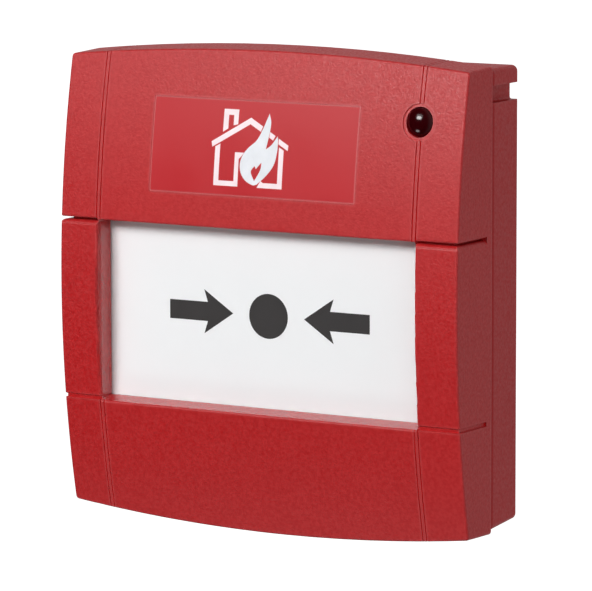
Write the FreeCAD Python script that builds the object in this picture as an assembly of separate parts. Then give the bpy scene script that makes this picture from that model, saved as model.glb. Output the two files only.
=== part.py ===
import FreeCAD, Part
import math
import os

from FreeCAD import Vector

# Manual call point, resettable, surface mounted.
# Frame: X to the right seen from the front, Z up, the front faces -Y.
# The back of the rear housing lies on y = 0 and the origin is at the middle of its two fixing holes.

# ---- driving sizes, mm ----
cover_width = 88.0
cover_front_y = -24.0        # crown of the bulged front
cover_bulge = 4.65           # how far the front falls back at its top and bottom edges
bulge_half_height = 43.6
parting_y = -10.7            # rear edge of the front cover
parting_gap = 0.14
far = 60.0                   # beyond the unit in every direction, for cuts that go right through
top_edge_z = 44.05           # corner heights at the parting
bottom_edge_z = -43.8
top_bow = 2.4                # rise of the arched top edge in the middle
bottom_bow = 2.87
wall = 2.0
draft = 0.045                # taper of the top edge, mm per mm of depth

window_left, window_right = -35.5, 34.9
window_top = 12.2
window_bottom = -23.0
lip_thickness = 1.5
lip_rear_y = -19.15
ledge_front_y, ledge_rise = -22.2, 0.7       # the window's lower ledge climbs towards the back
seam_places = [-35.4, 34.6]  # pairs of upright grooves above and below the window's sides
seam_half_width = 0.40       # from the middle of a pair to each groove
upper_seam_low, upper_seam_high = 11.95, 12.4
upper_seam_depth = 1.8
lower_seam_z = -22.6
seam_rear_y = -12.6
lip_steps = 5
rim_front_y = -12.4          # a straight inner rim closes the gap under the arched edges
rim_half_height = 41.9

label_left, label_right = -23.9, 21.6
label_bottom, label_top = 18.4, 36.5
label_depth = 0.4
label_sink = 0.06            # the label lies this far below the skin and inside its pocket

lamp_x, lamp_z = 34.3, 34.2
lens_radius = 2.75
lens_flange_radius = 3.7
lens_gap = 0.1
rim_radius = 3.45            # shallow recess round the lamp
rim_depth = 0.25

housing_width = 87.9
housing_top, housing_bottom = 43.7, -43.3
housing_rear_bottom = -42.5
housing_front_y = parting_y + parting_gap
back_thickness = 2.2
notch_bottom, notch_top, notch_depth = 37.3, 40.5, 2.2

hinge_y, hinge_z = -8.4, 42.6
hinge_x = 22.0
hinge_arm_width = 6.0
hinge_pin_radius = 0.75
hinge_pin_length = 10.4
running_gap = 0.05

fixing_spacing = 60.3
fixing_hole_radius = 2.1
chassis_screw_places = [(-23.0, 35.6), (23.0, 35.6), (-36.5, -33.0), (36.5, -33.0)]
boss_radius = 3.4
boss_front_y = -7.6
screw_shank_radius = 1.45
screw_head_radius = 2.8

chassis_front_y = -10.0
plate_half_width = 40.3
plate_bottom, plate_top = -38.4, 39.4
rail_outer_x = 26.2
rail_bottom, rail_top = -28.0, 9.4
shelf_thickness = 1.0
upper_shelf_z = -30.2
carriage_front_y, carriage_back_y = -15.0, -12.6
carriage_top, carriage_bottom = 14.0, -22.0
carriage_half_width = 22.2
tongue_reach = 1.8
tongue_front_y, tongue_top = -13.8, 8.8
opening_half_width = 17.0
opening_bottom, opening_top = -14.0, 12.0
spring_x = 12.0              # carriage springs and flag pegs
spring_bottom_z, spring_top_z = -13.95, 5.5
flag_half_width = 33.0
flag_peg_y, flag_peg_radius = -13.8, 0.9
drop = 4.0                   # fall of the carriage when the unit is operated
press = 1.5                  # travel of the operating element

element_front_y, element_back_y = -18.8, -16.8
element_top, element_bottom = 13.9, -24.7
element_half_width = 36.4
peg_places = [(-19.6, 8.5), (19.6, 8.5), (-19.6, -18.0), (19.6, -18.0)]
peg_radius = 1.2
peg_well_radius, peg_well_depth = 2.1, 1.4
peg_end_y = -11.8

board_front_y, board_back_y = -13.6, -12.0
board_half_width = 38.0
board_bottom, board_top = 16.5, 31.0
board_screw_x, board_screw_z = 34.0, 24.0
wire_places = [-5.0, 5.0]    # switch wires and the outer switch tags
wire_hole_z, wire_radius = 19.0, 0.6
resistor_ends = [3.5, 15.5]
resistor_y, resistor_z = -15.2, 25.0
lead_radius = 0.3
wire_bend = 0.9
terminal_centres = [-26.5, -20.5, -14.5, -8.5]
block_front_y = -19.2
block_left, block_right = -30.0, -5.0
block_bottom, block_top = 20.3, 29.0
clamp_screw_z, clamp_screw_radius = 25.0, 1.15

switch_front_y, switch_back_y = -14.4, -8.6
switch_half_length = 6.4
switch_bottom, switch_top = -6.0, 0.5
switch_screw_x, switch_screw_z, switch_screw_radius = 4.75, -1.4, 0.9
lever_pivot_x, lever_pivot_z = -5.7, -6.55
lever_pivot_radius = 0.4
lever_front_y, lever_back_y = -13.6, -10.4
plunger_x, plunger_y, plunger_radius = -2.4, -12.0, 0.7

lock_x, lock_y = -14.0, -14.0
lock_barrel_radius = 2.2
lock_flange_bottom, lock_flange_top = -43.8, -43.0
bolt_bottom, bolt_top = -41.0, -39.4
pusher_x, pusher_y = 14.0, -13.4
pusher_radius, pusher_collar_radius = 1.6, 2.6
pusher_bottom = -41.4
collar_bottom, collar_top = -37.35, -36.75
key_slot_width, key_slot_depth = 6.0, 2.8    # for the flat reset key
spring_wire_radius = 0.25


# ---- small helpers ----
def box(x0, x1, y0, y1, z0, z1):
    return Part.makeBox(x1 - x0, y1 - y0, z1 - z0, Vector(x0, y0, z0))


def rod_y(x, z, y0, y1, radius):
    return Part.makeCylinder(radius, y1 - y0, Vector(x, y0, z), Vector(0, 1, 0))


def rod_z(x, y, z0, z1, radius):
    return Part.makeCylinder(radius, z1 - z0, Vector(x, y, z0), Vector(0, 0, 1))


def rod_x(y, z, x0, x1, radius):
    return Part.makeCylinder(radius, x1 - x0, Vector(x0, y, z), Vector(1, 0, 0))


def fuse(shapes):
    whole = shapes[0]
    if len(shapes) > 1:
        whole = whole.multiFuse(shapes[1:])
    return whole.removeSplitter()


def soften(shape, radius, wanted):
    """Round the edges that wanted(edge) picks."""
    edges = [edge for edge in shape.Edges if wanted(edge)]
    return shape.makeFillet(radius, edges) if edges else shape


def ends(edge):
    box_ = edge.BoundBox
    return box_.XMin, box_.XMax, box_.YMin, box_.YMax, box_.ZMin, box_.ZMax


def rounded_box(x0, x1, y0, y1, z0, z1, radius):
    """A box with its four edges along Y rounded."""
    def along_y(edge):
        e = ends(edge)
        return e[3] - e[2] > 0.9 * (y1 - y0)
    return soften(box(x0, x1, y0, y1, z0, z1), radius, along_y)


def coil(centre, axis, length, mean_radius, turns):
    """A helical spring from centre along axis, swept turn by turn."""
    rise = length - 2 * spring_wire_radius
    pitch = rise / turns
    edges = []
    done = 0.0
    while done < turns:
        share = min(1.0, turns - done)
        piece = Part.makeHelix(pitch, pitch * share, mean_radius)
        piece.translate(Vector(0, 0, pitch * done))
        edges += piece.Edges
        done += share
    start = Vector(mean_radius, 0, 0)
    section = Part.Wire(Part.makeCircle(spring_wire_radius, start, Vector(0, 1, 0)))
    spring = Part.Wire(edges).makePipeShell([section], True, False)
    spring.translate(Vector(0, 0, spring_wire_radius))
    turn = FreeCAD.Rotation(Vector(0, 0, 1), axis)
    spring.Placement = FreeCAD.Placement(centre, turn).multiply(spring.Placement)
    return spring


def front_y(z, inset=0.0):
    """Depth of the bulged front at height z."""
    return cover_front_y + inset + cover_bulge * (z / bulge_half_height) ** 2


# ---- front cover ----
def cover_outline(y, inset):
    """Outline of the cover at depth y: straight sides, arched top and bottom."""
    depth = parting_y - y
    half = cover_width / 2 - inset
    top = top_edge_z - draft * depth - inset
    bottom = bottom_edge_z + 0.5 * draft * depth + inset
    rise = top_bow - 0.5 * draft * depth
    corners = [Vector(-half, y, top), Vector(half, y, top)]
    feet = [Vector(half, y, bottom), Vector(-half, y, bottom)]
    crown = Part.Arc(corners[0], Vector(0, y, top + rise), corners[1]).toShape()
    keel = Part.Arc(feet[0], Vector(0, y, bottom - bottom_bow), feet[1]).toShape()
    right = Part.makeLine(corners[1], feet[0])
    left = Part.makeLine(feet[1], corners[0])
    return Part.Wire([crown, right, keel, left])


def bulge_prism(inset):
    """Everything behind the bulged front, as a wide prism along X."""
    reach = bulge_half_height + 6.0
    tip = [Vector(-60, front_y(s * reach, inset), s * reach) for s in (-1, 1)]
    middle = Vector(-60, front_y(0, inset), 0)
    back = [Vector(-60, 5, s * reach) for s in (1, -1)]
    curve = Part.Arc(tip[0], middle, tip[1]).toShape()
    sides = [Part.makeLine(tip[1], back[0]), Part.makeLine(back[0], back[1])]
    outline = Part.Wire([curve] + sides + [Part.makeLine(back[1], tip[0])])
    return Part.Face(outline).extrude(Vector(120, 0, 0))


def cover_block(inset):
    """The cover as a full block, shrunk by inset on every visible side."""
    deep_y = cover_front_y - 2.0
    blank = Part.makeLoft([cover_outline(parting_y, inset), cover_outline(deep_y, inset)], True, True)
    return blank.common(bulge_prism(inset))


def rounded_cover_block():
    def is_corner(edge):
        e = ends(edge)
        return e[3] > parting_y - 0.01 and e[3] - e[2] > 5 and e[1] - e[0] < 1

    def is_front(edge):
        return ends(edge)[3] < parting_y - 5

    block = soften(cover_block(0.0), 0.7, is_corner)
    return soften(block, 0.4, is_front)


def upright_seams():
    """Pairs of narrow grooves that run up and down the front and over the top and bottom edges."""
    half_gap, half_floor, depth, proud = 0.17, 0.05, 0.40, 0.12
    shell = cover_block(-proud)
    cutters = []
    for x in [seam + side * seam_half_width for seam in seam_places for side in (-1, 1)]:
        slab = shell.common(box(x - half_gap, x + half_gap, -40, parting_y + 1, -60, 60))
        groove = slab.cut(groove_bed(x, half_gap, half_floor, proud, depth))
        groove = groove.cut(rod_y(lamp_x, lamp_z, -40, 0, rim_radius))
        keep_high = box(x - 3, x + 3, -40, 5, window_top - 0.1, 60)
        keep_low = box(x - 3, x + 3, -40, 5, -60, lower_seam_z)
        cutters.append(groove.common(keep_high))
        cutters.append(groove.common(keep_low))
    return cutters


def side_profile(x, inset):
    """Section of the cover block on a plane across X, at its real outline."""
    top, bottom = edge_heights(x, parting_y, inset)
    top_front, bottom_front = edge_heights(x, front_y(bulge_half_height, inset), inset)
    points = [
        Vector(x, parting_y + 2, bottom),
        Vector(x, front_y(bulge_half_height, inset), bottom_front),
        Vector(x, front_y(bulge_half_height, inset), top_front),
        Vector(x, parting_y + 2, top),
    ]
    curve = Part.Arc(points[1], Vector(x, front_y(0, inset), 0), points[2]).toShape()
    lower = Part.makeLine(points[0], points[1])
    upper = Part.makeLine(points[2], points[3])
    return Part.Wire([lower, curve, upper, Part.makeLine(points[3], points[0])])


def edge_heights(x, y, inset):
    """Top and bottom of the cover at x and y."""
    depth = parting_y - y
    share = 1.0 - (x / (cover_width / 2)) ** 2
    top = top_edge_z - draft * depth - inset + (top_bow - 0.5 * draft * depth) * share
    bottom = bottom_edge_z + 0.5 * draft * depth + inset - bottom_bow * share
    return top, bottom


def groove_bed(x, half_gap, half_floor, proud, depth):
    """The material that stays under an upright groove: two steep walls and a narrow floor."""
    rows = [(x - half_gap, -proud), (x - half_floor, depth), (x + half_floor, depth), (x + half_gap, -proud)]
    sections = [side_profile(place, inset) for place, inset in rows]
    return Part.makeLoft(sections, True, True)


def seam_outline(z, inset, side, rear_y):
    """Level outline of the side strip at height z, shrunk by inset."""
    outer = side * (cover_width / 2 - inset)
    inner = window_left if side < 0 else window_right
    face = front_y(z, inset)
    corners = [(inner, rear_y), (outer, rear_y), (outer, face), (inner, face)]
    points = [Vector(x, y, z) for x, y in corners]
    return Part.makePolygon(points + points[:1])


def level_seam(rows, side, rear_y):
    """A groove across the side strip and back along the cover's side; rows give height and depth."""
    proud = 0.12
    low, high = rows[0][0], rows[-1][0]
    full = Part.makeLoft([seam_outline(z, -proud, side, rear_y) for z in (low, high)], True, True)
    for before, after in zip(rows, rows[1:]):
        if before[0] == after[0]:
            continue
        bed = [seam_outline(z, inset, side, rear_y + 1) for z, inset in (before, after)]
        full = full.cut(Part.makeLoft(bed, True, True))
    return full


def lip_rows(edge_z, radius, direction):
    """Heights and depths down a rounded lip, from the skin into the groove."""
    rows = []
    for step in range(lip_steps + 1):
        angle = math.radians(90.0 * step / lip_steps)
        z = edge_z - direction * radius * (1 - math.sin(angle))
        rows.append((z, radius * (1 - math.cos(angle))))
    return rows


def hinge_arm(x):
    half = hinge_arm_width / 2
    eye = rod_x(hinge_y, hinge_z, x - half, x + half, 1.6)
    neck = box(x - half, x + half, -14.0, hinge_y, hinge_z - 1.2, hinge_z + 1.2)
    root = box(x - half, x + half, -14.0, parting_y, hinge_z - 1.2, hinge_z + 2.0)
    arm = fuse([eye, neck, root])
    return arm.cut(rod_x(hinge_y, hinge_z, x - 10, x + 10, hinge_pin_radius + running_gap))


def window_ledge():
    """Wedge that makes the lower edge of the window climb towards the back."""
    foot = window_bottom - 0.5
    corners = [(ledge_front_y, foot), (ledge_front_y, window_bottom),
               (lip_rear_y, window_bottom + ledge_rise), (lip_rear_y, foot)]
    points = [Vector(window_left - 0.2, y, z) for y, z in corners]
    outline = Part.makePolygon(points + points[:1])
    return Part.Face(outline).extrude(Vector(window_right - window_left + 0.4, 0, 0))


def front_cover():
    shell = rounded_cover_block().cut(cover_block(wall))
    lip = rounded_box(
        window_left - lip_thickness, window_right + lip_thickness, -22.0, lip_rear_y,
        window_bottom - lip_thickness, window_top + lip_thickness, 1.2)
    rim = cover_block(0.3).common(box(-43, 43, rim_front_y, parting_y, -60, 60))
    rim = rim.cut(box(-60, 60, -20, 0, -rim_half_height, rim_half_height))
    lock_boss = rod_z(lock_x, lock_y, -45.0, lock_flange_bottom - 0.1, 3.1)
    body = fuse([shell, rim, lip, hinge_arm(-hinge_x), hinge_arm(hinge_x), lock_boss])
    body = body.cut(rod_z(lock_x, lock_y, lock_flange_bottom - 0.1, -40.0, 3.2))
    window = rounded_box(
        window_left, window_right, -30.0, -15.0, window_bottom, window_top, 0.5)
    body = body.cut(window)

    def is_window_rim(edge):
        e = ends(edge)
        inside = e[0] > window_left - 0.01 and e[1] < window_right + 0.01
        level = e[4] > window_bottom - 0.01 and e[5] < window_top + 0.01
        return inside and level and e[3] < -22.2
    body = soften(body, 0.45, is_window_rim).fuse(window_ledge())
    cutters = upright_seams()
    shelf = lip_rows(upper_seam_low, 0.9, 1)
    brow = lip_rows(upper_seam_high, 0.5, -1)[::-1]
    groove = [(upper_seam_low, upper_seam_depth), (upper_seam_high, upper_seam_depth)]
    hairline = [(lower_seam_z - 0.55, -0.12), (lower_seam_z - 0.25, 0.4),
                (lower_seam_z + 0.25, 0.4), (lower_seam_z + 0.55, -0.12)]
    for side in (-1, 1):
        cutters.append(level_seam(shelf + groove + brow, side, seam_rear_y))
        cutters.append(level_seam(hairline, side, seam_rear_y))
    label_zone = rounded_box(label_left, label_right, -30, -18, label_bottom, label_top, 0.25)
    label_pocket = label_zone.cut(cover_block(label_depth))
    lock_hole = rod_z(lock_x, lock_y, -50, -40, lock_barrel_radius + running_gap)
    key_slot = box(
        pusher_x - key_slot_width / 2, pusher_x + key_slot_width / 2,
        pusher_y - key_slot_depth / 2, pusher_y + key_slot_depth / 2, -50, -40)
    return body.cut(Part.makeCompound(cutters + [lens_seat(), label_pocket, lock_hole, key_slot]))


def lens_seat():
    """The lamp's hole in a shallow round recess whose floor follows the front."""
    hole = rod_y(lamp_x, lamp_z, -26, -15, lens_radius + lens_gap)
    recess = rod_y(lamp_x, lamp_z, -26, -15, rim_radius).cut(cover_block(rim_depth))
    return hole.fuse(recess)


def label_panel():
    zone = rounded_box(
        label_left + label_sink, label_right - label_sink, -30, -18,
        label_bottom + label_sink, label_top - label_sink, 0.2)
    return zone.common(cover_block(label_sink)).cut(cover_block(label_depth))


def led_lens():
    """A red dome snapped in from behind, with a collar that stops it inside the cover."""
    skin_y = front_y(lamp_z)
    stem = rod_y(lamp_x, lamp_z, skin_y + 0.3, -17.8, lens_radius)
    dome_rise = 1.25
    sphere_radius = (lens_radius ** 2 + dome_rise ** 2) / (2 * dome_rise)
    centre = Vector(lamp_x, skin_y + 0.3 - dome_rise + sphere_radius, lamp_z)
    cap = Part.makeSphere(sphere_radius, centre)
    cap = cap.common(rod_y(lamp_x, lamp_z, skin_y - 3, skin_y + 0.3, lens_radius))
    collar_front = skin_y + wall + 0.75
    collar = rod_y(lamp_x, lamp_z, collar_front, -17.8, lens_flange_radius)
    hollow = rod_y(lamp_x, lamp_z, skin_y + 1.4, -17.0, lens_radius - 0.9)
    return fuse([stem, cap, collar]).cut(hollow)


# ---- rear housing ----
def housing_blank():
    def outline(y, half, bottom):
        points = [
            Vector(-half, y, bottom), Vector(half, y, bottom),
            Vector(half, y, housing_top), Vector(-half, y, housing_top),
        ]
        return Part.makePolygon(points + points[:1])

    half = housing_width / 2
    front = outline(housing_front_y, half, housing_bottom)
    back = outline(0, half - 0.4, housing_rear_bottom)
    blank = Part.makeLoft([front, back], True, True)

    def is_corner(edge):
        e = ends(edge)
        return e[3] - e[2] > 5

    def is_back(edge):
        return ends(edge)[2] > -0.01

    def is_top_front(edge):
        e = ends(edge)
        return e[3] < housing_front_y + 0.01 and e[4] > housing_top - 0.01

    blank = soften(blank, 1.2, is_corner)
    blank = soften(blank, 0.5, is_back)
    return soften(blank, 0.8, is_top_front)


def rear_housing():
    blank = housing_blank()
    inner = housing_width / 2 - wall - 0.2
    cavity = box(-inner, inner, -20, -back_thickness, housing_bottom + wall + 0.1, housing_top - wall)
    body = blank.cut(cavity)
    extras = []
    cutters = []
    for side in (-1, 1):
        x_in, x_out = sorted((side * 40.4, side * (inner + 0.5)))
        extras.append(box(x_in, x_out, -9.9, -1.0, notch_bottom - 1.6, housing_top - 1.0))
        x_in, x_out = sorted((side * (housing_width / 2 - notch_depth), side * 60))
        notch = box(x_in, x_out, housing_front_y - 1, 5, notch_bottom, notch_top)
        cutters.append(soften(notch, 0.4, lambda e: ends(e)[3] - ends(e)[2] > 5))
        for cheek in (-1, 1):
            near = side * hinge_x + cheek * (hinge_arm_width / 2 + 0.2)
            far = near + cheek * 2.0
            extras.append(box(min(near, far), max(near, far), -10.2, -6.4, 40.9, housing_top - 0.5))
        half = hinge_arm_width / 2 + 0.2
        x = side * hinge_x
        cutters.append(box(x - half, x + half, -20, hinge_y + 2.0, hinge_z - 1.9, 60))
        cutters.append(rod_x(hinge_y, hinge_z, x - 5.2, x + 5.2, hinge_pin_radius))
        x = side * fixing_spacing / 2
        extras.append(rod_y(x, 0, -back_thickness - 0.8, -1.0, 5.0))
        cutters.append(rod_y(x, 0, -10, 5, fixing_hole_radius))
    for x, z in chassis_screw_places:
        extras.append(rod_y(x, z, boss_front_y, -1.0, boss_radius))
        cutters.append(rod_y(x, z, boss_front_y - 1, boss_front_y + 5.6, screw_shank_radius))
    cutters.append(rounded_box(-16, 16, -10, 5, 8, 30, 3.0))
    return fuse([body] + extras).cut(Part.makeCompound(cutters))


def hinge_pins():
    half = hinge_pin_length / 2
    pins = [rod_x(hinge_y, hinge_z, x - half, x + half, hinge_pin_radius) for x in (-hinge_x, hinge_x)]
    return Part.makeCompound(pins)


# ---- mechanism ----
def guide_rail(side):
    """One of two rails that the carriage slides in."""
    clearance = 0.2
    x0, x1 = sorted((side * (carriage_half_width + 0.3), side * rail_outer_x))
    block = box(x0, x1, carriage_front_y, chassis_front_y + 1, rail_bottom, rail_top)
    groove_reach = carriage_half_width + tongue_reach + clearance
    g0, g1 = sorted((side * carriage_half_width, side * groove_reach))
    groove_front_y = tongue_front_y - clearance
    groove_back_y = carriage_back_y + clearance
    groove = box(g0, g1, groove_front_y, groove_back_y, rail_bottom - 1, rail_top + 1)
    return block.cut(groove)


def pusher_shelf(z0):
    """A guide shelf for the reset rod, from z0 up."""
    z1 = z0 + shelf_thickness
    shelf = box(pusher_x - 4, pusher_x + 4, pusher_y - 2.8, chassis_front_y + 1, z0, z1)
    return shelf.cut(rod_z(pusher_x, pusher_y, z0 - 1, z1 + 1, pusher_radius + running_gap))


def mechanism_chassis():
    plate = rounded_box(
        -plate_half_width, plate_half_width, chassis_front_y, boss_front_y,
        plate_bottom, plate_top, 2.0)
    root_y = chassis_front_y + 1
    parts = [plate, guide_rail(-1), guide_rail(1)]
    parts.append(pusher_shelf(plate_bottom))
    parts.append(pusher_shelf(upper_shelf_z))
    for side in (-1, 1):
        x = side * spring_x
        parts.append(box(x - 2.5, x + 2.5, -14.6, root_y, spring_top_z, spring_top_z + 2.0))
        parts.append(rod_y(side * board_screw_x, board_screw_z, board_back_y, root_y, 2.6))
    lug_left, lug_right = lock_x + 2.6, lock_x + 5.6
    lug_front_y, lug_top = -16.8, plate_bottom + 1.6
    lug_arm = box(lug_left, lug_right, lug_front_y, root_y, plate_bottom, lug_top)
    lug = box(lug_left, lug_right, lug_front_y, lug_front_y + 1.5, bolt_bottom, lug_top)
    body = fuse(parts + [lug_arm, lug])
    cable_way = rounded_box(-18, 18, -far, far, 32.3, 38.0, 1.0)
    switch_pocket = box(
        -switch_half_length, switch_half_length, chassis_front_y - 2, switch_back_y,
        switch_bottom, switch_top)
    cutters = [cable_way, switch_pocket]
    for side in (-1, 1):
        cutters.append(rod_y(side * fixing_spacing / 2, 0, -far, far, 4.2))
        cutters.append(rod_y(side * board_screw_x, board_screw_z, -13, -8.4, 1.1))
        cutters.append(rod_y(side * switch_screw_x, switch_screw_z, -far, far, switch_screw_radius))
    for x, z in chassis_screw_places:
        cutters.append(rod_y(x, z, -far, far, screw_shank_radius + 0.25))
    return body.cut(Part.makeCompound(cutters))


def screw_y(x, z, head_back_y, length, shank, head, head_height):
    """A pan head screw driven towards the back, with a cross recess."""
    front = head_back_y - head_height
    body = fuse([
        rod_y(x, z, front, head_back_y, head),
        rod_y(x, z, head_back_y, head_back_y + length, shank)])
    body = soften(body, 0.35 * head_height, lambda e: ends(e)[3] < front + 0.01)
    reach, width, depth = 0.55 * head, 0.14 * head, 0.55 * head_height
    slot_a = box(x - reach, x + reach, front - 1, front + depth, z - width, z + width)
    slot_b = box(x - width, x + width, front - 1, front + depth, z - reach, z + reach)
    return body.cut(Part.makeCompound([slot_a, slot_b]))


def chassis_screws():
    return Part.makeCompound(
        [screw_y(x, z, chassis_front_y, 7.6, screw_shank_radius, screw_head_radius, 1.8)
         for x, z in chassis_screw_places])


def carriage():
    plate = box(-carriage_half_width, carriage_half_width, carriage_front_y, carriage_back_y,
                carriage_bottom, carriage_top)
    reach = carriage_half_width + tongue_reach
    tongue = box(-reach, reach, tongue_front_y, carriage_back_y, carriage_bottom, tongue_top)
    opening = rounded_box(
        -opening_half_width, opening_half_width, -far, far, opening_bottom, opening_top, 1.5)
    body = fuse([plate, tongue]).cut(opening)
    switch_tab = box(3.0, 5.2, carriage_front_y, -11.4, opening_bottom - 1, -6.85)
    rod_slot_half = pusher_radius + 0.3
    rod_slot = box(
        pusher_x - rod_slot_half, pusher_x + rod_slot_half, -far, far,
        carriage_bottom - 1, carriage_bottom + drop + 0.2)
    peg_foot, peg_tip = carriage_top - 0.5, carriage_top + 1.0
    flag_pegs = [rod_z(s * spring_x, flag_peg_y, peg_foot, peg_tip, flag_peg_radius) for s in (-1, 1)]
    body = fuse([body, switch_tab] + flag_pegs)
    cutters = [rod_slot]
    for x, z in peg_places:
        cutters.append(rod_y(x, z, -far, far, peg_radius + running_gap))
        cutters.append(rod_y(x, z, -far, carriage_front_y + peg_well_depth, peg_well_radius))
    return body.cut(Part.makeCompound(cutters))


def indicator_flag():
    """The band that drops into view above the element: a shelf on the carriage with a hanging front."""
    front, top = -18.5, 19.1
    shelf = box(-flag_half_width, flag_half_width, front, -12.7, carriage_top, carriage_top + 1.0)
    band = box(-flag_half_width, flag_half_width, front, front + 0.9, carriage_top, top)
    body = fuse([shelf, band])
    holes = [rod_z(s * spring_x, flag_peg_y, -far, far, flag_peg_radius) for s in (-1, 1)]
    return body.cut(Part.makeCompound(holes))


def operating_element():
    plate = rounded_box(
        -element_half_width, element_half_width, element_front_y, element_back_y,
        element_bottom, element_top, 1.0)
    plate = soften(plate, 0.25, lambda e: ends(e)[3] < element_front_y + 0.01)
    pegs = [rod_y(x, z, element_back_y - 0.5, peg_end_y, peg_radius) for x, z in peg_places]
    return fuse([plate] + pegs)


def element_clips():
    """Push-on rings that hold the element's pegs behind the carriage."""
    rings = []
    for x, z in peg_places:
        ring = rod_y(x, z, peg_end_y - 0.7, peg_end_y - 0.2, 2.4)
        rings.append(ring.cut(rod_y(x, z, -far, far, peg_radius)))
    return Part.makeCompound(rings)


def element_springs():
    springs = []
    for x, z in peg_places:
        length = carriage_front_y + peg_well_depth - element_back_y - 0.05
        springs.append(coil(Vector(x, element_back_y, z), Vector(0, 1, 0), length, 1.65, 2))
    return Part.makeCompound(springs)


def carriage_springs():
    springs = []
    for side in (-1, 1):
        foot = Vector(side * spring_x, carriage_back_y, spring_bottom_z)
        length = spring_top_z - spring_bottom_z - 0.05
        springs.append(coil(foot, Vector(0, 0, 1), length, 1.6, 9))
    return Part.makeCompound(springs)


def reset_pusher():
    rod = rod_z(pusher_x, pusher_y, pusher_bottom, carriage_bottom - drop - 0.2, pusher_radius)
    collar = rod_z(pusher_x, pusher_y, collar_bottom, collar_top, pusher_collar_radius)
    rod = soften(rod, 0.4, lambda e: ends(e)[5] - ends(e)[4] < 0.01)
    return fuse([rod, collar])


def pusher_spring():
    foot = Vector(pusher_x, pusher_y, collar_top + 0.05)
    length = upper_shelf_z - collar_top - 0.15
    return coil(foot, Vector(0, 0, 1), length, 2.05, 3.5)


def cover_lock():
    """Quarter-turn lock in the bottom of the cover: at rest its tongue points back and frees the cover."""
    key_depth_z = -44.9
    barrel = rod_z(lock_x, lock_y, -46.2, lock_flange_bottom, lock_barrel_radius)
    flange = rod_z(lock_x, lock_y, lock_flange_bottom, lock_flange_top, 2.9)
    stem = rod_z(lock_x, lock_y, lock_flange_top, bolt_top, 1.4)
    bolt = box(lock_x - 1.0, lock_x + 1.0, lock_y, lock_y + 5.2, bolt_bottom, bolt_top)
    slot = box(lock_x - 1.5, lock_x + 1.5, lock_y - 0.5, lock_y + 0.5, -far, key_depth_z)
    key_hole = rod_z(lock_x, lock_y, -far, key_depth_z, 0.8)
    return fuse([barrel, flange, stem, bolt]).cut(Part.makeCompound([slot, key_hole]))


# ---- electrical parts ----
def circuit_board():
    main_part = box(
        -board_half_width, board_half_width, board_front_y, board_back_y, board_bottom, board_top)
    lamp_tab = box(28.5, 38.5, board_front_y, board_back_y, board_top - 1, 38.5)
    holes = [rod_y(side * board_screw_x, board_screw_z, -far, far, 1.3) for side in (-1, 1)]
    holes += [rod_y(x, wire_hole_z, -far, far, wire_radius) for x in wire_places]
    holes += [rod_y(x, resistor_z, -far, far, lead_radius) for x in resistor_ends]
    return fuse([main_part, lamp_tab]).cut(Part.makeCompound(holes))


def board_screws():
    return Part.makeCompound(
        [screw_y(s * board_screw_x, board_screw_z, board_front_y, 4.6, 1.1, 2.1, 1.4)
         for s in (-1, 1)])


def status_led():
    radius, dome_y = 1.35, -16.0
    flange = rod_y(lamp_x, lamp_z, board_front_y - 0.9, board_front_y, radius + 0.25)
    body = rod_y(lamp_x, lamp_z, dome_y, board_front_y, radius)
    dome = Part.makeSphere(radius, Vector(lamp_x, dome_y, lamp_z))
    return fuse([flange, body, dome])


def terminal_block():
    body = box(block_left, block_right, block_front_y, board_front_y, block_bottom, block_top)
    body = soften(body, 0.4, lambda e: ends(e)[3] < block_front_y + 0.01)
    cutters = []
    for x in terminal_centres:
        cutters.append(box(x - 2.2, x + 2.2, -17.4, -14.4, 22.0, block_top + 1))
        cutters.append(rod_y(x, clamp_screw_z, -far, -17.0, 1.85))
    for left, right in zip(terminal_centres, terminal_centres[1:]):
        middle = (left + right) / 2
        cutters.append(box(middle - 0.3, middle + 0.3, -30, -18.2, 15, 35))
    return body.cut(Part.makeCompound(cutters))


def terminal_clamps():
    cages = []
    for x in terminal_centres:
        cage = box(x - 2.1, x + 2.1, -17.3, -14.5, 22.1, 27.6)
        way = box(x - 1.5, x + 1.5, -16.4, -15.1, 20, 30)
        screw_way = rod_y(x, clamp_screw_z, -far, -16, clamp_screw_radius)
        cages.append(cage.cut(Part.makeCompound([way, screw_way])))
    return Part.makeCompound(cages)


def terminal_screws():
    screws = []
    for x in terminal_centres:
        head = rod_y(x, clamp_screw_z, -18.8, -17.35, 1.7)
        shank = rod_y(x, clamp_screw_z, -17.35, -15.9, clamp_screw_radius)
        slot = box(x - 3, x + 3, -far, -18.1, clamp_screw_z - 0.3, clamp_screw_z + 0.3)
        screws.append(fuse([head, shank]).cut(slot))
    return Part.makeCompound(screws)


def bent_wire(points, radius, bend):
    """Round wire along straight runs joined by tangent arcs; every turn is a right angle."""
    edges = []
    start = points[0]
    for before, corner, after in zip(points, points[1:], points[2:]):
        arrive = Vector(corner).sub(before).normalize()
        leave = Vector(after).sub(corner).normalize()
        first = Vector(corner).sub(Vector(arrive).multiply(bend))
        last = Vector(corner).add(Vector(leave).multiply(bend))
        inner = Vector(first).add(Vector(leave).multiply(bend))
        middle = Vector(corner).sub(inner).normalize().multiply(bend).add(inner)
        edges.append(Part.makeLine(start, first))
        edges.append(Part.Arc(first, middle, last).toShape())
        start = last
    edges.append(Part.makeLine(start, points[-1]))
    path = Part.Wire(edges)
    tangent = Vector(points[1]).sub(points[0])
    section = Part.Wire(Part.makeCircle(radius, points[0], tangent))
    return path.makePipeShell([section], True, False)


def alarm_resistor():
    body = rod_x(resistor_y, resistor_z, 6.0, 13.0, 1.25)
    body = soften(body, 0.5, lambda e: ends(e)[1] - ends(e)[0] < 0.01)
    return body.cut(rod_x(resistor_y, resistor_z, -far, far, lead_radius))


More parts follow.
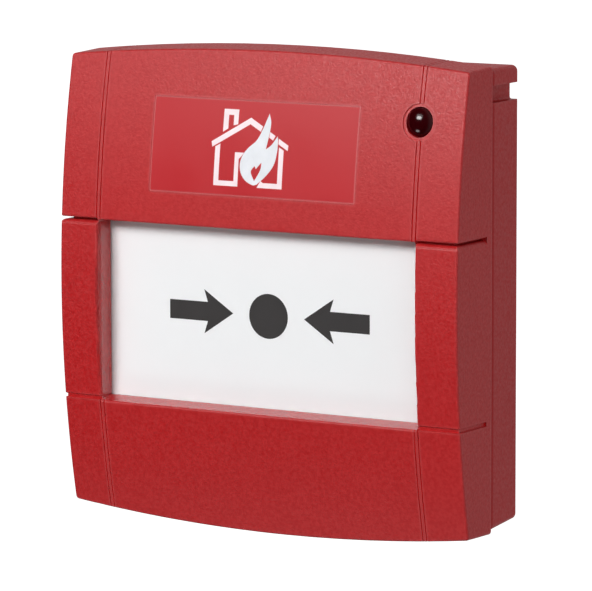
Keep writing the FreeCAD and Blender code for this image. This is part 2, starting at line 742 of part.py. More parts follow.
def resistor_lead():
    left, right = resistor_ends
    foot_y = board_back_y + 0.6
    points = [
        Vector(left, foot_y, resistor_z), Vector(left, resistor_y, resistor_z),
        Vector(right, resistor_y, resistor_z), Vector(right, foot_y, resistor_z),
    ]
    return bent_wire(points, lead_radius, wire_bend)


def microswitch_body():
    body = box(
        -switch_half_length, switch_half_length, switch_front_y, switch_back_y,
        switch_bottom, switch_top)
    cutters = [rod_y(s * switch_screw_x, switch_screw_z, -far, far, switch_screw_radius)
               for s in (-1, 1)]
    cutters.append(rod_z(
        plunger_x, plunger_y, switch_bottom - 1, switch_bottom + 2.6, plunger_radius + 0.08))
    pivot_room = lever_pivot_radius + 0.15
    cutters.append(box(
        lever_pivot_x - pivot_room, lever_pivot_x + pivot_room,
        lever_front_y - 0.1, lever_back_y + 0.1, switch_bottom - 2, lever_pivot_z + pivot_room))
    foot = box(
        lever_pivot_x - 0.8, lever_pivot_x + 1.2, switch_front_y, lever_front_y - 0.15,
        lever_pivot_z - 0.55, switch_bottom + 0.5)
    return fuse([body, foot]).cut(Part.makeCompound(cutters))


def microswitch_terminals():
    places = [wire_places[0], 0.0, wire_places[1]]
    return Part.makeCompound(
        [box(x - 0.8, x + 0.8, -12.25, -11.75, switch_top, switch_top + 3.4) for x in places])


def microswitch_screws():
    return Part.makeCompound(
        [screw_y(s * switch_screw_x, switch_screw_z, switch_front_y, 6.6, switch_screw_radius, 1.5, 0.6)
         for s in (-1, 1)])


def microswitch_lever():
    pivot = rod_y(lever_pivot_x, lever_pivot_z, lever_front_y, lever_back_y, lever_pivot_radius)
    blade = box(
        lever_pivot_x, 6.6, lever_front_y, lever_back_y,
        lever_pivot_z - 0.15, lever_pivot_z + 0.15)
    return fuse([pivot, blade])


def microswitch_plunger():
    bottom = lever_pivot_z + 0.17
    pin = rod_z(plunger_x, plunger_y, bottom, -3.8, plunger_radius)
    return soften(pin, 0.2, lambda e: ends(e)[5] < bottom + 0.01)


def switch_wires():
    wires = []
    for x in wire_places:
        points = [
            Vector(x, -11.1, 1.2), Vector(x, -11.1, wire_hole_z),
            Vector(x, -13.0, wire_hole_z),
        ]
        wires.append(bent_wire(points, wire_radius, wire_bend))
    return Part.makeCompound(wires)


NODES = {
    "front_cover": front_cover,
    "label_panel": label_panel,
    "led_lens": led_lens,
    "cover_lock": cover_lock,
    "rear_housing": rear_housing,
    "hinge_pins": hinge_pins,
    "mechanism_chassis": mechanism_chassis,
    "chassis_screws": chassis_screws,
    "carriage": carriage,
    "indicator_flag": indicator_flag,
    "carriage_springs": carriage_springs,
    "operating_element": operating_element,
    "element_clips": element_clips,
    "element_springs": element_springs,
    "reset_pusher": reset_pusher,
    "pusher_spring": pusher_spring,
    "circuit_board": circuit_board,
    "board_screws": board_screws,
    "status_led": status_led,
    "alarm_resistor": alarm_resistor,
    "resistor_lead": resistor_lead,
    "terminal_block": terminal_block,
    "terminal_clamps": terminal_clamps,
    "terminal_screws": terminal_screws,
    "microswitch_body": microswitch_body,
    "microswitch_terminals": microswitch_terminals,
    "microswitch_screws": microswitch_screws,
    "microswitch_lever": microswitch_lever,
    "microswitch_plunger": microswitch_plunger,
    "switch_wires": switch_wires,
}


def main():
    os.makedirs("parts", exist_ok=True)
    for name, make in NODES.items():
        shape = make()
        size = shape.BoundBox
        sound = all(solid.isValid() and solid.Volume > 0 for solid in shape.Solids)
        print(f"{name:24s} solids {len(shape.Solids)} volume {shape.Volume:9.2f} sound {sound}")
        print(f"    x {size.XMin:.2f} {size.XMax:.2f} y {size.YMin:.2f} {size.YMax:.2f}"
              f" z {size.ZMin:.2f} {size.ZMax:.2f}")
        shape.exportStep(f"parts/{name}.step")


main()
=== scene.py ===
import math

import bmesh
import bpy
from mathutils import Matrix, Vector


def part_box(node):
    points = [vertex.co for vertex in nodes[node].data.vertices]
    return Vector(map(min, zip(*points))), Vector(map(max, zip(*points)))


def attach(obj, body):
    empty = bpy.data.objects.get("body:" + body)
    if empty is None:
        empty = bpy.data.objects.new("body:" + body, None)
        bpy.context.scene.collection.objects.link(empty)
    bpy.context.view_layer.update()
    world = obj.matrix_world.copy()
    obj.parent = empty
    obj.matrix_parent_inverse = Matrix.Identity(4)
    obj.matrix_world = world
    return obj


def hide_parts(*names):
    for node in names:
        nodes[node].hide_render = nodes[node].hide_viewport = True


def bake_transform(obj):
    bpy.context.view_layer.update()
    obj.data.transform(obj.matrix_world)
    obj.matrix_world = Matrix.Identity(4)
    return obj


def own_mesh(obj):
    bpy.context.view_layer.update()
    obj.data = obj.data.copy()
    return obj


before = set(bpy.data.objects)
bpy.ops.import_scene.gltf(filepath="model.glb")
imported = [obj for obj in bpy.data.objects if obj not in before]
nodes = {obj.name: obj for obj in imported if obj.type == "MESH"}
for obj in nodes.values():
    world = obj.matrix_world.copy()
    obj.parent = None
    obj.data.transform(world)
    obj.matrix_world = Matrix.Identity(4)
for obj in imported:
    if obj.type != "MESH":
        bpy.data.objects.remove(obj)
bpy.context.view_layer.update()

MM = 0.001

# ---------------------------------------------------------------- driving values, in mm
COVER_CROWN_Y = -24.0             # the cover's front bulges forward to here at mid height
COVER_FALL = 4.65                 # and falls back by this much at COVER_HALF_HEIGHT
COVER_HALF_HEIGHT = 43.6
LABEL_SINK = 0.06                 # the label film lies this far below the cover's skin
MARK_ROW_Z = -4.65                # height of the printed row on the white element
PRINT_PROUD = 0.03                # printed marks stand this far out of the surface
WIRE_HOLES = [(-5.0, 19.0), (5.0, 19.0)]      # x and z of the switch wires in the board
LEG_HOLES = [(3.5, 25.0), (15.5, 25.0)]       # x and z of the resistor's legs in the board
WINDOW_INSIDE = ((-35.6, -22.5, -23.2), (35.0, -18.0, 12.3))      # corners round its polished sides
EDGE_REACH = 0.55                 # width of the band along moulded edges that gets the painted highlight
GROOVE_REACH = 0.4                # grooves narrower than this get painted light

# ---------------------------------------------------------------- driving values, other
RED = (0.46, 0.006, 0.008)        # the cover's plastic, before grain and wear
EDGE_HIGHLIGHT_PALENESS = 0.14              # how far the painted highlight on a convex edge goes towards white
GROOVE_PAINTED_LIGHT = 1.6                 # how much lighter the colour is painted in narrow grooves, as painted light
LAMP_AIM = (0, -0.01, 0.0)        # metres, just in front of the part's origin


# ---------------------------------------------------------------- camera and stage
def make_camera():
    """A long lens that looks down a little at the front from the right."""
    yaw, pitch, roll = math.radians(31.396), math.radians(7.714), math.radians(-0.124)
    target = Vector((2.076, -12.0, -1.297)) * MM
    distance = 882.67 * MM
    level = Vector((math.cos(yaw), math.sin(yaw), 0.0))
    away = Vector((math.sin(yaw), -math.cos(yaw), 0.0))
    back = away * math.cos(pitch) + Vector((0.0, 0.0, math.sin(pitch)))
    rise = back.cross(level)
    right = level * math.cos(roll) + rise * math.sin(roll)
    up = rise * math.cos(roll) - level * math.sin(roll)
    data = bpy.data.cameras.new("camera")
    data.sensor_width = 36.0
    data.lens = 281.5
    data.clip_start = 0.05
    data.clip_end = 100.0
    camera = bpy.data.objects.new("camera", data)
    turn = Matrix((right, up, back)).transposed()
    camera.matrix_world = Matrix.Translation(target + back * distance) @ turn.to_4x4()
    bpy.context.scene.collection.objects.link(camera)
    bpy.context.scene.camera = camera


def area_light(name, place, width, height, power, ellipse=False, glints=True):
    """A soft lamp aimed at the part; place and size in metres.

    With glints, the lamp is seen in reflections.
    """
    data = bpy.data.lights.new(name, "AREA")
    data.shape = "ELLIPSE" if ellipse else "RECTANGLE"
    data.size = width
    data.size_y = height
    data.energy = power
    light = bpy.data.objects.new(name, data)
    light.location = place
    light.rotation_euler = (Vector(LAMP_AIM) - Vector(place)).to_track_quat("-Z", "Y").to_euler()
    light.visible_camera = False
    light.visible_glossy = glints
    bpy.context.scene.collection.objects.link(light)


def make_lights():
    """Width and height in metres, power in watts."""
    area_light("key", (-0.22, -0.84, 0.50), 0.6, 0.45, 2.4)
    area_light("front", (-0.13, -0.60, 0.28), 0.34, 0.20, 2.8, ellipse=True)
    area_light("low", (-0.30, -0.38, -0.49), 0.27, 0.14, 0.5, ellipse=True)
    area_light("fill", (0.50, -0.65, 0.10), 0.6, 0.6, 1.0, glints=False)


def make_world():
    """Soft pale surroundings, black in front on the left, where only the lamps shine."""
    lamp_side = Vector((-0.50, -0.86, 0.0))
    glow_steps = ((0.40, 0.49), (0.55, 0.24), (0.70, 0.0))       # place, 1 at the lamps, and grey
    world = bpy.data.worlds.new("surroundings")
    bpy.context.scene.world = world
    world.use_nodes = True
    tree = world.node_tree
    tree.nodes.clear()
    out = tree.nodes.new("ShaderNodeOutputWorld")
    glow = tree.nodes.new("ShaderNodeBackground")
    ramp = tree.nodes.new("ShaderNodeValToRGB")
    lean = tree.nodes.new("ShaderNodeVectorMath")
    place = tree.nodes.new("ShaderNodeTexCoord")
    spread = tree.nodes.new("ShaderNodeMapRange")
    lean.operation = "DOT_PRODUCT"
    lean.inputs[1].default_value = lamp_side.normalized()
    spread.inputs["From Min"].default_value = -1.0
    tree.links.new(place.outputs["Generated"], lean.inputs[0])
    tree.links.new(lean.outputs["Value"], spread.inputs["Value"])
    tree.links.new(spread.outputs[0], ramp.inputs[0])
    tree.links.new(ramp.outputs[0], glow.inputs["Color"])
    tree.links.new(glow.outputs[0], out.inputs["Surface"])
    stops = ramp.color_ramp.elements
    stops.new(0.5)
    for stop, (position, grey) in zip(stops, glow_steps):
        stop.position = position
        stop.color = (grey, grey, grey, 1)


def stage_material():
    material = bpy.data.materials.new("stage_pale")
    material.use_nodes = True
    shader = material.node_tree.nodes["Principled BSDF"]
    shader.inputs["Base Color"].default_value = (0.8, 0.8, 0.8, 1)
    shader.inputs["Roughness"].default_value = 0.9
    shader.inputs["Emission Color"].default_value = (1, 1, 1, 1)
    shader.inputs["Emission Strength"].default_value = 1.0
    return material


def make_stage():
    """A pale floor far below the part, which hangs on a wall, and a pale dome; sizes in metres."""
    floor_radius, floor_z, dome_radius = 3.2, -1.6, 3.6
    pale = stage_material()
    floor_mesh = bmesh.new()
    bmesh.ops.create_circle(floor_mesh, cap_ends=True, segments=96, radius=floor_radius)
    dome_mesh = bmesh.new()
    bmesh.ops.create_uvsphere(dome_mesh, u_segments=48, v_segments=24, radius=dome_radius)
    for name, shape, height in (("floor", floor_mesh, floor_z), ("dome", dome_mesh, 0.0)):
        data = bpy.data.meshes.new(name)
        shape.to_mesh(data)
        shape.free()
        piece = bpy.data.objects.new(name, data)
        piece.location = (0, 0, height)
        data.materials.append(pale)
        bpy.context.scene.collection.objects.link(piece)
        piece.visible_diffuse = False
        piece.visible_glossy = False
        piece.visible_transmission = False
        piece.visible_shadow = False


# ---------------------------------------------------------------- materials
def material_tree(name):
    material = bpy.data.materials.new(name)
    material.use_nodes = True
    tree = material.node_tree
    return material, tree, tree.nodes["Principled BSDF"]


def feed(tree, value, socket):
    """Link an output to the socket, or set the socket to a number or a colour."""
    if hasattr(value, "is_linked"):
        tree.links.new(value, socket)
    elif socket.type == "RGBA":
        socket.default_value = (*value[:3], 1.0)
    else:
        socket.default_value = value


def object_noise(tree, size_mm, detail=2.0, roughness=0.5, stretch=(1, 1, 1)):
    """Noise whose features are about size_mm across, fixed to the piece."""
    place = tree.nodes.new("ShaderNodeTexCoord")
    scale = tree.nodes.new("ShaderNodeMapping")
    scale.inputs["Scale"].default_value = [1.0 / (size_mm * MM) * s for s in stretch]
    noise = tree.nodes.new("ShaderNodeTexNoise")
    noise.inputs["Scale"].default_value = 1.0
    noise.inputs["Detail"].default_value = detail
    noise.inputs["Roughness"].default_value = roughness
    tree.links.new(place.outputs["Object"], scale.inputs["Vector"])
    tree.links.new(scale.outputs[0], noise.inputs["Vector"])
    return noise.outputs["Fac"]


def ranged(tree, value, low, high, from_low=0.3, from_high=0.7):
    """Value mapped from one range to another; the default suits plain noise."""
    node = tree.nodes.new("ShaderNodeMapRange")
    node.inputs["From Min"].default_value = from_low
    node.inputs["From Max"].default_value = from_high
    node.inputs["To Min"].default_value = low
    node.inputs["To Max"].default_value = high
    tree.links.new(value, node.inputs["Value"])
    return node.outputs[0]


def blended(tree, share, first, second):
    """A colour between two colours or colour outputs."""
    node = tree.nodes.new("ShaderNodeMix")
    node.data_type = "RGBA"
    feed(tree, share, node.inputs["Factor"])
    feed(tree, first, node.inputs[6])
    feed(tree, second, node.inputs[7])
    return node.outputs[2]


def add_bump(tree, shader, height, distance_mm, strength=1.0):
    bump = tree.nodes.new("ShaderNodeBump")
    bump.inputs["Strength"].default_value = strength
    bump.inputs["Distance"].default_value = distance_mm * MM
    tree.links.new(height, bump.inputs["Height"])
    if shader.inputs["Normal"].is_linked:
        tree.links.new(shader.inputs["Normal"].links[0].from_socket, bump.inputs["Normal"])
    tree.links.new(bump.outputs[0], shader.inputs["Normal"])


def room(tree, reach_mm, inside=False):
    """Share of free space within reach_mm, outside the piece or in its own material."""
    probe = tree.nodes.new("ShaderNodeAmbientOcclusion")
    probe.inside = inside
    probe.samples = 6
    probe.inputs["Distance"].default_value = reach_mm * MM
    return probe.outputs["AO"]


def edge_highlight_mask(tree, reach_mm):
    """1 on convex edges, fading to 0 within reach_mm on the flats; it places painted edge highlights.
    """
    return ranged(tree, room(tree, reach_mm, inside=True), 1.0, 0.0, 0.55, 0.97)


def creases(tree, reach_mm):
    """1 inside grooves narrower than reach_mm, fading to 0 on open surfaces."""
    return ranged(tree, room(tree, reach_mm), 1.0, 0.0, 0.35, 0.8)


def shade(colour, factor):
    return tuple(min(1.0, c * factor) for c in colour[:3])


def times(tree, value, factor):
    """The product of an output and another output or a number."""
    node = tree.nodes.new("ShaderNodeMath")
    node.operation = "MULTIPLY"
    feed(tree, value, node.inputs[0])
    feed(tree, factor, node.inputs[1])
    return node.outputs[0]


def inside_box(tree, low_mm, high_mm):
    """1 for points of the piece that lie inside the box, else 0."""
    place = tree.nodes.new("ShaderNodeTexCoord")
    split = tree.nodes.new("ShaderNodeSeparateXYZ")
    tree.links.new(place.outputs["Object"], split.inputs[0])
    tests = []
    for axis, (low, high) in enumerate(zip(low_mm, high_mm)):
        test = tree.nodes.new("ShaderNodeMath")
        test.operation = "COMPARE"
        test.inputs[1].default_value = (low + high) / 2 * MM
        test.inputs[2].default_value = (high - low) / 2 * MM
        tree.links.new(split.outputs[axis], test.inputs[0])
        tests.append(test.outputs[0])
    return times(tree, times(tree, tests[0], tests[1]), tests[2])


def moulded_plastic(name, colour, rough=0.45, grain_mm=0.35, grain_depth=0.006, mottle=0.06,
                    specular=0.35, edge=0.3, speck_glint=0.0, smooth_box=None):
    """Injection-moulded plastic: eroded grain, faint flow variation, convex edges painted paler as a
    painted highlight.

    White added to the pale specks of the grain is a painted glint for the sparkle of the gloss.
    Narrow grooves are painted a lighter red, as painted light.
    Inside smooth_box, a pair of corners in mm, the surface is polished.
    """
    material, tree, shader = material_tree(name)
    fine = object_noise(tree, grain_mm, 3.0, 0.6)
    broad = object_noise(tree, 14.0, 2.0)
    speck = object_noise(tree, grain_mm * 1.6, 1.0)
    # painted glint: white is added to the pale specks, for the sparkle of the gloss
    pale_speck_and_glint = tuple(min(1.0, c * (1.0 + mottle) + speck_glint) for c in colour[:3])
    specks = ranged(tree, speck, 0.0, 1.0, 0.35, 0.65)
    tone = blended(tree, specks, shade(colour, 1.0 - mottle), pale_speck_and_glint)
    flow = blended(tree, ranged(tree, broad, 0.0, 1.0), shade(colour, 0.98), shade(colour, 1.03))
    both = blended(tree, 0.5, tone, flow)
    # painted highlight: convex edges are painted paler, for gloss catching the light on rounded edges
    edge_highlight = tuple(c + EDGE_HIGHLIGHT_PALENESS * (1.0 - c) for c in colour[:3])
    skin = blended(tree, times(tree, edge_highlight_mask(tree, EDGE_REACH), edge), both, edge_highlight)
    # painted light: narrow grooves are painted a lighter red
    lit = blended(tree, creases(tree, GROOVE_REACH), skin, shade(colour, GROOVE_PAINTED_LIGHT))
    tree.links.new(lit, shader.inputs["Base Color"])
    dullness = ranged(tree, fine, rough - 0.15, rough + 0.15)
    if smooth_box:
        inside = inside_box(tree, *smooth_box)
        eased = tree.nodes.new("ShaderNodeMix")
        tree.links.new(inside, eased.inputs["Factor"])
        tree.links.new(dullness, eased.inputs["A"])
        eased.inputs["B"].default_value = 0.22
        dullness = eased.outputs[0]
        tree.links.new(ranged(tree, inside, 0.0, 0.7, 0.0, 1.0), shader.inputs["Coat Weight"])
        shader.inputs["Coat Roughness"].default_value = 0.15
    tree.links.new(dullness, shader.inputs["Roughness"])
    shader.inputs["Specular IOR Level"].default_value = specular
    add_bump(tree, shader, fine, grain_depth)
    return material


def polished_plastic(name, colour, rough=0.16, mottle=0.02, coat=0.2, ripple=0.0015, edge=0.0):
    """Smooth plastic or film: a faint wide ripple and patches of slightly duller gloss."""
    material, tree, shader = material_tree(name)
    cloud = object_noise(tree, 9.0, 2.0, 0.4)
    fine = object_noise(tree, 0.5, 2.0, 0.5)
    dark, light = shade(colour, 1 - mottle), shade(colour, 1 + mottle)
    tone = blended(tree, ranged(tree, cloud, 0.0, 1.0), dark, light)
    if edge:
        # painted highlight: the film's edges are painted a paler pink
        film_edge_highlight = (0.85, 0.55, 0.55)
        tone = blended(tree, times(tree, edge_highlight_mask(tree, 0.3), edge), tone, film_edge_highlight)
    tree.links.new(tone, shader.inputs["Base Color"])
    tree.links.new(ranged(tree, cloud, rough * 0.9, rough * 1.15), shader.inputs["Roughness"])
    shader.inputs["Specular IOR Level"].default_value = 0.33
    shader.inputs["Coat Weight"].default_value = coat
    shader.inputs["Coat Roughness"].default_value = 0.1
    add_bump(tree, shader, fine, ripple)
    return material


def worked_metal(name, colour, rough=0.3, line_mm=0.4, stretch=(1, 1, 0.06), tarnish=0.18):
    """Plated or drawn metal with fine lines and patchy tarnish."""
    material, tree, shader = material_tree(name)
    lines = object_noise(tree, line_mm, 3.0, 0.6, stretch)
    patches = object_noise(tree, 3.0, 4.0, 0.6)
    tone = blended(tree, ranged(tree, patches, 0.0, 1.0), shade(colour, 1 - tarnish), colour)
    tree.links.new(tone, shader.inputs["Base Color"])
    tree.links.new(ranged(tree, lines, rough * 0.7, rough * 1.4), shader.inputs["Roughness"])
    shader.inputs["Metallic"].default_value = 1.0
    add_bump(tree, shader, lines, 0.004)
    return material


def tinted_clear(name, deep, glow, rough=0.04):
    """Deeply tinted lens: almost black, with the colour showing where the wall is thin."""
    material, tree, shader = material_tree(name)
    haze = object_noise(tree, 1.2, 3.0)
    thin = ranged(tree, room(tree, 1.2, inside=True), 1.0, 0.0, 0.2, 0.9)
    tone = blended(tree, thin, deep, glow)
    tree.links.new(tone, shader.inputs["Base Color"])
    tree.links.new(ranged(tree, haze, rough, rough + 0.03), shader.inputs["Roughness"])
    shader.inputs["Specular IOR Level"].default_value = 0.42
    add_bump(tree, shader, haze, 0.001)
    return material


def make_materials():
    return {
        "front_cover": moulded_plastic("cover_red", RED, 0.45, grain_mm=0.45, grain_depth=0.045,
                                       mottle=0.09, specular=0.46, speck_glint=0.016,
                                       smooth_box=WINDOW_INSIDE),
        "rear_housing": moulded_plastic("housing_red", shade(RED, 0.95), 0.47, grain_mm=0.50,
                                        grain_depth=0.026, mottle=0.06, specular=0.43,
                                        edge=0.12, speck_glint=0.006),
        "label_panel": polished_plastic("label_film", (0.50, 0.018, 0.024), 0.38, mottle=0.015,
                                        coat=0.0, edge=0.25),
        "led_lens": tinted_clear("lens_red", (0.026, 0.0004, 0.0015), (0.13, 0.001, 0.006), 0.13),
        "cover_lock": moulded_plastic("lock_black", (0.02, 0.02, 0.022), 0.4),
        "hinge_pins": worked_metal("pin_steel", (0.60, 0.60, 0.62)),
        "mechanism_chassis": moulded_plastic("chassis_black", (0.028, 0.028, 0.031), 0.5,
                                             grain_mm=0.5, grain_depth=0.012),
        "chassis_screws": worked_metal("screw_zinc", (0.66, 0.66, 0.68), 0.28),
        "board_screws": worked_metal("board_screw_zinc", (0.66, 0.66, 0.68), 0.28),
        "carriage": moulded_plastic("carriage_grey", (0.36, 0.37, 0.38), 0.42, grain_mm=0.4),
        "indicator_flag": polished_plastic("flag_yellow", (0.78, 0.53, 0.012), 0.3),
        "operating_element": polished_plastic("element_white", (0.925, 0.94, 0.95), 0.35,
                                              mottle=0.004, coat=0.1),
        "element_clips": worked_metal("clip_steel", (0.5, 0.5, 0.52), 0.3),
        "carriage_springs": worked_metal("spring_steel", (0.52, 0.52, 0.54), 0.22),
        "element_springs": worked_metal("small_spring_steel", (0.52, 0.52, 0.54), 0.22),
        "pusher_spring": worked_metal("pusher_spring_steel", (0.52, 0.52, 0.54), 0.22),
        "reset_pusher": moulded_plastic("pusher_white", (0.62, 0.61, 0.57), 0.38),
        "circuit_board": polished_plastic("board_green", (0.010, 0.10, 0.035), 0.25, mottle=0.08),
        "status_led": tinted_clear("led_red", (0.30, 0.01, 0.01), (0.55, 0.03, 0.03)),
        "alarm_resistor": polished_plastic("resistor_lacquer", (0.42, 0.30, 0.16), 0.3),
        "resistor_lead": worked_metal("tinned_wire", (0.74, 0.74, 0.72), 0.25),
        "terminal_block": moulded_plastic("terminal_blue", (0.02, 0.06, 0.24), 0.35, grain_mm=0.5),
        "terminal_clamps": worked_metal("clamp_nickel", (0.62, 0.58, 0.46), 0.3),
        "terminal_screws": worked_metal("terminal_screw_zinc", (0.66, 0.66, 0.68), 0.28),
        "microswitch_body": moulded_plastic("switch_black", (0.018, 0.018, 0.02), 0.35, grain_mm=0.5),
        "microswitch_terminals": worked_metal("switch_tags", (0.74, 0.72, 0.66), 0.25),
        "microswitch_screws": worked_metal("switch_screw_zinc", (0.66, 0.66, 0.68), 0.28),
        "microswitch_lever": worked_metal("lever_steel", (0.64, 0.64, 0.64), 0.22,
                                          stretch=(0.06, 1, 1)),
        "microswitch_plunger": moulded_plastic("plunger_red", (0.5, 0.03, 0.02), 0.35),
        "switch_wires": polished_plastic("wire_pvc", (0.35, 0.012, 0.012), 0.35),
    }


def dress_nodes(materials):
    for name, material in materials.items():
        mesh = nodes[name].data
        mesh.materials.clear()
        mesh.materials.append(material)


# ---------------------------------------------------------------- printed marks
def flat_front(node):
    """Depth of a flat front, the same at every height, all in mm."""
    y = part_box(node)[0][1] / MM
    return lambda z: y


def label_front(z):
    """Depth of the curved label at height z, all in mm."""
    return COVER_CROWN_Y + COVER_FALL * (z / COVER_HALF_HEIGHT) ** 2 + LABEL_SINK


def smooth_loop(points, corners, steps=6):
    """A closed curve through the points; the numbered corners stay sharp."""
    count = len(points)
    curve = []
    for i in range(count):
        start, end = Vector(points[i]), Vector(points[(i + 1) % count])
        before = start * 2 - end if i in corners else Vector(points[i - 1])
        after = end * 2 - start if (i + 1) % count in corners else Vector(points[(i + 2) % count])
        for k in range(steps):
            t = k / steps
            curve.append(0.5 * (start * 2 + (end - before) * t
                                + (before * 2 - start * 5 + end * 4 - after) * t * t
                                + (start * 3 - before - end * 3 + after) * t ** 3))
    return curve


def add_print(shape, loops, front, proud=PRINT_PROUD):
    """Add one printed area, bounded by loops of (x, z) in mm, to the mesh under construction.

    Front gives the depth of the surface at a height. The area is cut into level strips a
    millimetre high, so that it follows a curved front, and sinks in as far as it stands out.
    """
    sheet = bmesh.new()
    edges = []
    for loop in loops:
        corners = [sheet.verts.new((x, 0.0, z)) for x, z in loop]
        edges += [sheet.edges.new(pair) for pair in zip(corners, corners[1:] + corners[:1])]
    bmesh.ops.triangle_fill(sheet, use_beauty=True, edges=edges)
    low = min(z for loop in loops for _, z in loop)
    high = max(z for loop in loops for _, z in loop)
    for level in range(math.ceil(low), math.ceil(high)):
        bmesh.ops.bisect_plane(sheet, geom=sheet.verts[:] + sheet.edges[:] + sheet.faces[:],
                               plane_co=(0, 0, level), plane_no=(0, 0, 1))
    lifted = bmesh.ops.extrude_face_region(sheet, geom=sheet.faces[:])["geom"]
    raised = {v for v in lifted if isinstance(v, bmesh.types.BMVert)}
    for v in sheet.verts:
        y = front(v.co.z) + (-proud if v in raised else proud)
        v.co = Vector((v.co.x, y, v.co.z)) * MM
    bmesh.ops.recalc_face_normals(sheet, faces=sheet.faces[:])
    part = bpy.data.meshes.new("print")
    sheet.to_mesh(part)
    sheet.free()
    shape.from_mesh(part)
    bpy.data.meshes.remove(part)


def finish_piece(name, shape, material, body):
    data = bpy.data.meshes.new(name)
    shape.to_mesh(data)
    shape.free()
    data.materials.append(material)
    piece = bpy.data.objects.new(name, data)
    bpy.context.scene.collection.objects.link(piece)
    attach(piece, body)


def ink(name, colour, rough=0.5):
    """Screen-printed ink: slightly uneven cover and a fine orange-peel."""
    material, tree, shader = material_tree(name)
    cloud = object_noise(tree, 2.5, 3.0, 0.5)
    peel = object_noise(tree, 0.25, 2.0, 0.5)
    tone = blended(tree, ranged(tree, cloud, 0.0, 1.0), shade(colour, 0.96), shade(colour, 1.05))
    tree.links.new(tone, shader.inputs["Base Color"])
    tree.links.new(ranged(tree, cloud, rough - 0.05, rough + 0.05), shader.inputs["Roughness"])
    shader.inputs["Specular IOR Level"].default_value = 0.3
    add_bump(tree, shader, peel, 0.002)
    return material


def make_element_marks(material):
    """Two arrows that point at a dot, printed dark on the white element."""
    front = flat_front("operating_element")
    dot_x, dot_radius, dot_points = 0.1, 4.3, 64
    shaft, head = 1.85, 4.25          # half widths of the arrows
    shape = bmesh.new()
    turns = [math.tau * k / dot_points for k in range(dot_points)]
    dot = [(dot_x + dot_radius * math.cos(a), MARK_ROW_Z + dot_radius * math.sin(a)) for a in turns]
    add_print(shape, [dot], front)
    for tail, neck, barb, tip in ((-22.1, -13.5, -14.3, -7.8), (22.4, 13.7, 14.5, 8.0)):
        arrow = [(tail, -shaft), (neck, -shaft), (barb, -head), (tip, 0.0),
                 (barb, head), (neck, shaft), (tail, shaft)]
        add_print(shape, [[(x, MARK_ROW_Z + z) for x, z in arrow]], front)
    finish_piece("element_marks", shape, material, "element")


def make_house_mark(material):
    """Outline of a house with a chimney, open where the flame stands in front of it."""
    strokes = [
        [(-8.1, 30.4), (-8.1, 34.7), (-4.85, 34.7), (-4.85, 31.95), (-5.85, 31.7),
         (-5.85, 33.65), (-7.0, 33.65), (-7.0, 31.05)],
        [(-10.47, 28.5), (-2.05, 33.3), (0.68, 31.8), (0.29, 30.8), (-2.1, 32.1), (-10.24, 27.5)],
        [(2.35, 30.85), (3.59, 30.15), (3.1, 29.3), (2.24, 29.8)],
        [(4.39, 29.7), (6.56, 28.5), (6.48, 27.5), (4.37, 28.65)],
        [(-9.56, 20.3), (-9.56, 27.6), (-8.5, 28.15), (-8.5, 21.25), (-5.1, 21.25), (-5.1, 26.7),
         (-3.1, 26.7), (-3.85, 25.8), (-4.2, 25.5), (-4.2, 20.3)],
        [(0.1, 20.3), (0.9, 21.6), (1.4, 21.25), (4.55, 21.25), (4.55, 28.1), (5.6, 27.55),
         (5.6, 20.3)],
    ]
    shape = bmesh.new()
    for stroke in strokes:
        add_print(shape, [stroke], label_front)
    finish_piece("house_mark", shape, material, "cover")


def make_flame_mark(material):
    """A flame whose heart shows the film behind it."""
    outer = [(1.93, 34.26), (2.40, 32.6), (2.26, 30.6), (1.65, 27.55), (2.9, 28.5), (4.09, 30.14),
             (4.23, 29.0), (4.12, 26.8), (3.54, 24.6), (1.99, 22.6), (0.06, 20.9), (-0.87, 20.75),
             (-2.49, 21.5), (-3.59, 22.9), (-3.86, 24.6), (-3.42, 26.1), (-2.27, 27.6),
             (-0.51, 29.1), (0.59, 31.0), (1.36, 32.8)]
    heart = [(-0.53, 21.5), (-1.37, 23.2), (-0.62, 24.35), (-0.28, 23.8), (0.89, 25.1),
             (0.68, 23.6)]
    shape = bmesh.new()
    loops = [smooth_loop(outer, {0, 3, 5, 10}, 5), smooth_loop(heart, {0, 2, 3, 4}, 5)]
    add_print(shape, loops, label_front)
    finish_piece("flame_mark", shape, material, "cover")


def add_turned(shape, profile, centre, axis, segments=32):
    """Spin a profile of (distance along the axis, radius) in mm about the axis through centre."""
    start = Vector(centre)
    along = Vector(axis).normalized()
    across = along.orthogonal().normalized()
    verts = [shape.verts.new((start + along * d + across * r) * MM) for d, r in profile]
    chain = [shape.edges.new(pair) for pair in zip(verts, verts[1:])]
    bmesh.ops.spin(shape, geom=verts + chain, cent=start * MM, axis=along, angle=math.tau,
                   steps=segments, use_merge=True)
    bmesh.ops.remove_doubles(shape, verts=shape.verts[:], dist=1e-7)
    bmesh.ops.recalc_face_normals(shape, faces=shape.faces[:])
    for face in shape.faces:
        face.smooth = True


def spring_piece(node):
    """The node's coils as a piece of their own, so that they can shorten or stretch."""
    piece = bpy.data.objects.new(node + "_coils", nodes[node].data.copy())
    bpy.context.scene.collection.objects.link(piece)
    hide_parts(node)
    return piece


def make_pressed_springs(node, body):
    """Springs fixed at their high end and pushed at their low end, as a piece of their own attached
    to the body and given a mesh of its own.
    """
    piece = spring_piece(node)
    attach(piece, body)
    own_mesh(piece)


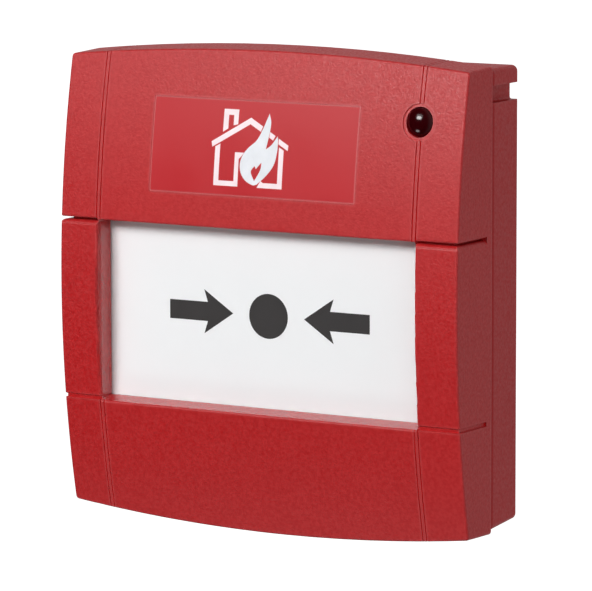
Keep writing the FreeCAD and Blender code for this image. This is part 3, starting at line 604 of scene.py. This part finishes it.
def make_pulled_springs():
    """The carriage springs, which hang from the base and stretch when the carriage drops, as a piece
    of their own with the placement baked into its mesh.
    """
    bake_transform(spring_piece("carriage_springs"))


def make_solder_joints(material):
    """Fillets of solder where the switch wires and the resistor's legs pass through the board."""
    board_low, board_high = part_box("circuit_board")
    front, back = board_low[1] / MM, board_high[1] / MM
    shape = bmesh.new()
    for holes, face_y, out, size in ((WIRE_HOLES, front, -1, 0.75), (LEG_HOLES, back, 1, 0.55)):
        # a hollow fillet, from just under the board's face up the wire
        profile = [(-0.05, 0.0), (-0.05, 1.35 * size), (0.08, 1.3 * size),
                   (0.3 * size, 0.95 * size), (0.75 * size, 0.55 * size),
                   (1.05 * size, 0.25 * size), (1.15 * size, 0.0)]
        for x, z in holes:
            add_turned(shape, profile, (x, face_y, z), (0, out, 0))
    finish_piece("solder_joints", shape, material, "base")


def make_resistor_bands(paints):
    """The painted rings that give the resistor's value."""
    low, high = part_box("alarm_resistor")
    middle_y, middle_z = (low[1] + high[1]) / 2 / MM, (low[2] + high[2]) / 2 / MM
    radius = (high[2] - low[2]) / 2 / MM
    under, over = radius - 0.05, radius + 0.02
    width, slope = 0.55, 0.02
    profile = [(0.0, under), (slope, over), (width, over), (width + slope, under), (0.0, under)]
    names = ("first", "second", "third", "fourth")
    for name, paint, offset in zip(names, paints, (1.1, 2.3, 3.5, 5.4)):
        shape = bmesh.new()
        centre = (low[0] / MM + offset, middle_y, middle_z)
        add_turned(shape, profile, centre, (1, 0, 0), 48)
        finish_piece("resistor_band_" + name, shape, paint, "base")


def make_board_print(material):
    """White outlines printed on the board round the resistor and the terminal block."""
    front = flat_front("circuit_board")
    line = 0.25
    shape = bmesh.new()
    for node, gap in (("resistor_lead", 0.9), ("terminal_block", 0.5)):
        low, high = (Vector(corner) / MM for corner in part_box(node))
        loops = []
        for out in (gap + line, gap):
            left, right, bottom, top = low.x - out, high.x + out, low.z - out, high.z + out
            loops.append([(left, bottom), (right, bottom), (right, top), (left, top)])
        add_print(shape, loops, front, 0.02)
    finish_piece("board_print", shape, material, "base")


# ---------------------------------------------------------------- making
make_camera()
make_world()
make_stage()
make_lights()
dress_nodes(make_materials())
make_element_marks(ink("ink_dark", (0.040, 0.037, 0.037), 0.55))
make_house_mark(ink("ink_warm_white", (0.97, 0.80, 0.83), 0.45))
make_flame_mark(ink("ink_cool_white", (0.80, 0.82, 0.86), 0.45))
make_pressed_springs("element_springs", "carriage")
make_pressed_springs("pusher_spring", "base")
make_pulled_springs()
make_solder_joints(worked_metal("solder", (0.72, 0.72, 0.73), 0.22, 0.8, (1, 1, 1)))
make_resistor_bands([ink("band_yellow", (0.75, 0.50, 0.02)),
                     ink("band_violet", (0.16, 0.05, 0.30)),
                     ink("band_brown", (0.12, 0.045, 0.015)),
                     ink("band_gold", (0.45, 0.30, 0.08), 0.3)])
make_board_print(ink("board_white", (0.78, 0.78, 0.76)))

bpy.context.scene.view_settings.view_transform = "Standard"
